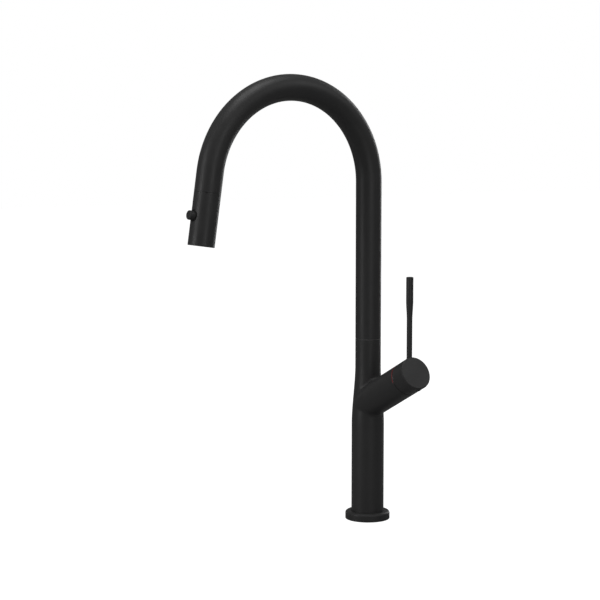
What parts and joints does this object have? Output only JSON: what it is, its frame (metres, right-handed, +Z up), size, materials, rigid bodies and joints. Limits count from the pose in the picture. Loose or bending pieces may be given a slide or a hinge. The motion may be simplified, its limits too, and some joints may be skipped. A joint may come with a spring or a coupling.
{
  "type": "pull down kitchen faucet",
  "caption": "Matte black high-arc kitchen faucet with a pull-down spray head, a swivelling spout and a lever handle on a slanted side housing.",
  "frame": {"origin": "centre of the foot on the worktop", "axes": "+Z up along the column, the spout reaches toward -Y and the handle stands off toward +X"},
  "size_m": [0.1203, 0.2555, 0.5424],
  "materials": {
    "black": "matte black powder coat",
    "trim": "dark moulded trim",
    "brass": "machined",
    "steel": "bright",
    "rubber": "matte",
    "ceramic": "polished ceramic",
    "plastic": "moulded",
    "magnet": "plated",
    "hose": "braided sleeve",
    "red": "glossy",
    "blue": "glossy"
  },
  "bodies": {
    "body": {"body_casting": "black", "base_flange": "black", "flange_seal": "rubber", "shank": "brass", "deck_gasket": "rubber", "deck_washer": "steel", "lock_nut": "brass", "cold_inlet_tail": "brass", "hot_inlet_tail": "brass", "outlet_tail": "brass", "hose_in_column": "hose", "swivel_spigot": "brass", "lower_oring": "rubber", "upper_oring": "rubber", "circlip": "steel", "slip_washer": "plastic", "port_seal": "rubber", "cartridge_base": "plastic", "fixed_disc": "ceramic", "cartridge_housing": "plastic", "cartridge_nut": "brass", "dome_ring": "black", "hot_index": "red", "cold_index": "blue"},
    "rotor": {"cartridge_rotor": "plastic", "stem_pin": "steel"},
    "handle": {"valve_stem": "steel", "handle_cap": "black", "lever": "black", "set_screw": "steel", "screw_plug": "trim"},
    "disc": {"disc_carrier": "plastic", "moving_disc": "ceramic"},
    "spout": {"spout_tube": "black", "spout_bush": "plastic", "dock_ring": "plastic", "dock_magnet": "magnet", "hose_in_spout": "hose"},
    "hose_end": {"hose_lead": "hose", "hose_nut": "brass", "nut_oring": "rubber"},
    "spray_head": {"spray_shell": "black", "spray_inlet": "plastic", "collar_magnet": "magnet", "check_valve": "plastic", "diverter_body": "plastic", "button_bezel": "trim", "spray_plate": "trim", "aerator_housing": "steel", "aerator_insert": "plastic", "button_spring": "steel"},
    "button": {"button_cap": "black", "diverter_spool": "brass"}
  },
  "joints": [
    {"name": "spout_swivel", "type": "hinge", "parent": "body", "child": "spout", "pos_m": [0, 0, 0.2], "axis": [0, 0, 1], "range_deg": [-180, 180]},
    {"name": "spray_pull", "type": "slide", "parent": "spout", "child": "hose_end", "axis": [0, -0.1488, -0.9889], "range_m": [0, 0.28]},
    {"name": "spray_twist", "type": "hinge", "parent": "hose_end", "child": "spray_head", "pos_m": [0, -0.2047, 0.36482], "axis": [0, -0.1488, -0.9889], "range_deg": [-180, 180]},
    {"name": "button_press", "type": "slide", "parent": "spray_head", "child": "button", "axis": [0, 0.9889, -0.1488], "range_m": [0, 0.003], "stiffness_N_per_m": 600, "springref_m": -0.001, "deforming": ["button_spring"]},
    {"name": "handle_turn", "type": "hinge", "parent": "body", "child": "rotor", "pos_m": [0, 0, 0.1284], "axis": [0.8886, 0, 0.4586], "range_deg": [-45, 45]},
    {"name": "handle_tilt", "type": "hinge", "parent": "rotor", "child": "handle", "pos_m": [0.059, 0, 0.15885], "axis": [0, 1, 0], "range_deg": [0, 25]},
    {"name": "disc_slide", "type": "slide", "parent": "rotor", "child": "disc", "axis": [-0.4586, 0, 0.8886], "range_m": [0, 0.0029]}
  ],
  "couplings": [
    {"joint": "disc_slide", "follows": "handle_tilt", "m_per_rad": 0.0065}
  ]
}
